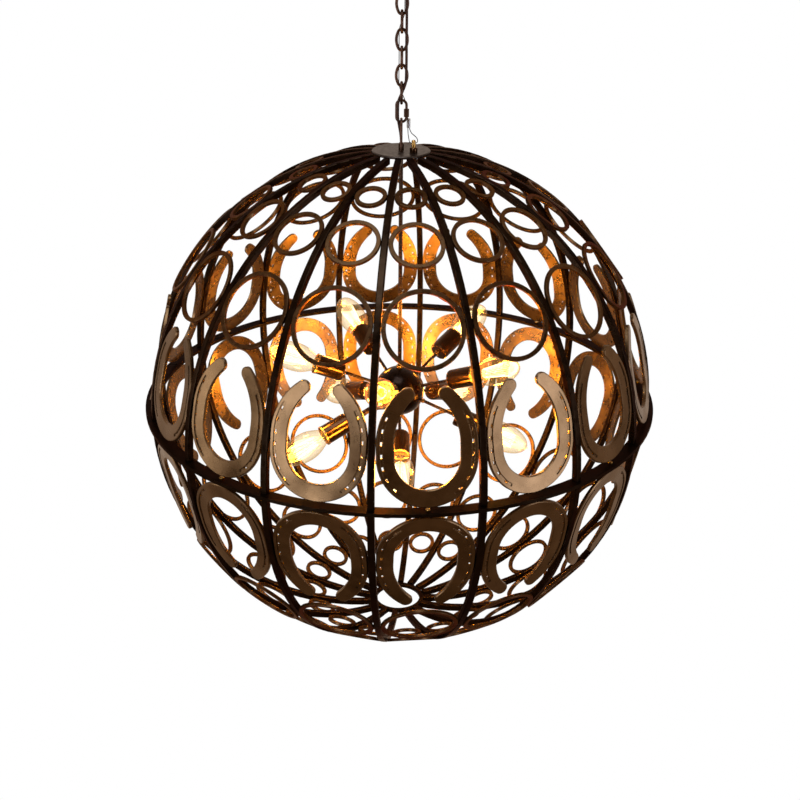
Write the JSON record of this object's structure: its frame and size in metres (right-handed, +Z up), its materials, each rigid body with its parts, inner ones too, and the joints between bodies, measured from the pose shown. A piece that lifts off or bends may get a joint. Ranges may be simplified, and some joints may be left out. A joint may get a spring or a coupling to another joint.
{
  "type": "orb chandelier",
  "caption": "Globe-shaped chandelier of bent bars, rings and horseshoes with bulbs on arms round a central ball, hung on a chain from a ceiling canopy.",
  "frame": {"origin": "centre of the canopy's rim, on the ceiling", "axes": "+Z up, -Y towards the viewer, the chain and the globe hang along -Z"},
  "size_m": [1.0329, 1.0329, 1.3948],
  "materials": {
    "dark_bronze": "satin",
    "rib_steel": "satin",
    "horseshoe_iron": "satin",
    "flange_steel": "satin",
    "disc_steel": "satin",
    "chain_steel": "satin",
    "ball_metal": "polished",
    "brass": "polished",
    "zinc_steel": "satin",
    "ferrule_metal": "satin",
    "cable_steel": "satin",
    "cord_jacket": "matte",
    "rubber": "matte",
    "socket_plastic": "satin",
    "clear_glass": "polished",
    "filament": "matte"
  },
  "bodies": {
    "ceiling_fitting": {"ceiling_canopy": "dark_bronze", "cord_gland": "rubber", "cable_gland": "rubber", "mounting_crossbar": "zinc_steel", "threaded_nipple": "zinc_steel", "nipple_lock_nut": "zinc_steel", "canopy_ring_nut": "dark_bronze", "ceiling_loop": "dark_bronze", "supply_cord": "cord_jacket", "safety_cable": "cable_steel"},
    "link_7": {"chain_link_7": "chain_steel"},
    "link_6": {"chain_link_6": "chain_steel"},
    "link_5": {"chain_link_5": "chain_steel"},
    "link_4": {"chain_link_4": "chain_steel"},
    "link_3": {"chain_link_3": "chain_steel"},
    "link_2": {"chain_link_2": "chain_steel"},
    "link_1": {"chain_link_1": "chain_steel"},
    "quick_link": {"quick_link_body": "chain_steel"},
    "sleeve": {"quick_link_sleeve": "chain_steel"},
    "globe": {"hanging_loop": "chain_steel", "hanging_loop_nuts": "zinc_steel", "top_disc": "disc_steel", "stem_collar": "dark_bronze", "stem_tube": "dark_bronze", "stem_disc_nut": "zinc_steel", "stem_ball_nut": "brass", "stem_inner_nut": "zinc_steel", "cable_anchor_base": "dark_bronze", "cable_anchor_eye": "brass", "cable_ferrule": "ferrule_metal", "safety_cable_loop": "cable_steel", "ribs_upper": "rib_steel", "ribs_lower": "rib_steel", "horseshoes_upper": "horseshoe_iron", "horseshoes_lower": "horseshoe_iron", "flange_ring_upper": "flange_steel", "flange_ring_lower": "flange_steel", "flange_bolts": "brass", "flange_nuts": "brass", "bottom_ring": "rib_steel", "hub_ball": "ball_metal", "arm_tubes": "dark_bronze", "arm_lock_nuts": "zinc_steel", "arm_ball_collars": "brass", "arm_socket_collars": "brass", "socket_covers": "dark_bronze", "socket_rims": "brass", "socket_bodies": "socket_plastic", "bulb_caps": "brass", "bulb_glass": "clear_glass", "bulb_mounts": "clear_glass", "bulb_filaments": "filament", "rings_large_upper": "dark_bronze", "rings_large_lower": "dark_bronze", "rings_medium_upper": "dark_bronze", "rings_medium_lower": "dark_bronze", "rings_small_upper": "dark_bronze", "rings_small_lower": "dark_bronze"}
  },
  "joints": [
    {"name": "link_7_swing", "type": "hinge", "parent": "ceiling_fitting", "child": "link_7", "pos_m": [0, 0, -0.065], "axis": [1, 0, 0], "range_deg": [-15, 15], "deforming": ["supply_cord", "safety_cable"]},
    {"name": "link_6_swing", "type": "hinge", "parent": "link_7", "child": "link_6", "pos_m": [0, 0, -0.09735], "axis": [0, 1, 0], "range_deg": [-15, 15]},
    {"name": "link_5_swing", "type": "hinge", "parent": "link_6", "child": "link_5", "pos_m": [0, 0, -0.12995], "axis": [1, 0, 0], "range_deg": [-15, 15]},
    {"name": "link_4_swing", "type": "hinge", "parent": "link_5", "child": "link_4", "pos_m": [0, 0, -0.16255], "axis": [0, 1, 0], "range_deg": [-15, 15]},
    {"name": "link_3_swing", "type": "hinge", "parent": "link_4", "child": "link_3", "pos_m": [0, 0, -0.19515], "axis": [1, 0, 0], "range_deg": [-15, 15]},
    {"name": "link_2_swing", "type": "hinge", "parent": "link_3", "child": "link_2", "pos_m": [0, 0, -0.22775], "axis": [0, 1, 0], "range_deg": [-15, 15]},
    {"name": "link_1_swing", "type": "hinge", "parent": "link_2", "child": "link_1", "pos_m": [0, 0, -0.26035], "axis": [1, 0, 0], "range_deg": [-15, 15]},
    {"name": "quick_link_swing", "type": "hinge", "parent": "link_1", "child": "quick_link", "pos_m": [0, 0, -0.29295], "axis": [0, 1, 0], "range_deg": [-15, 15]},
    {"name": "globe_swing", "type": "hinge", "parent": "quick_link", "child": "globe", "pos_m": [0, 0, -0.3284], "axis": [1, 0, 0], "range_deg": [-15, 15]},
    {"name": "sleeve_screw", "type": "slide", "parent": "quick_link", "child": "sleeve", "axis": [0, 0, 1], "range_m": [0, 0.007]}
  ]
}
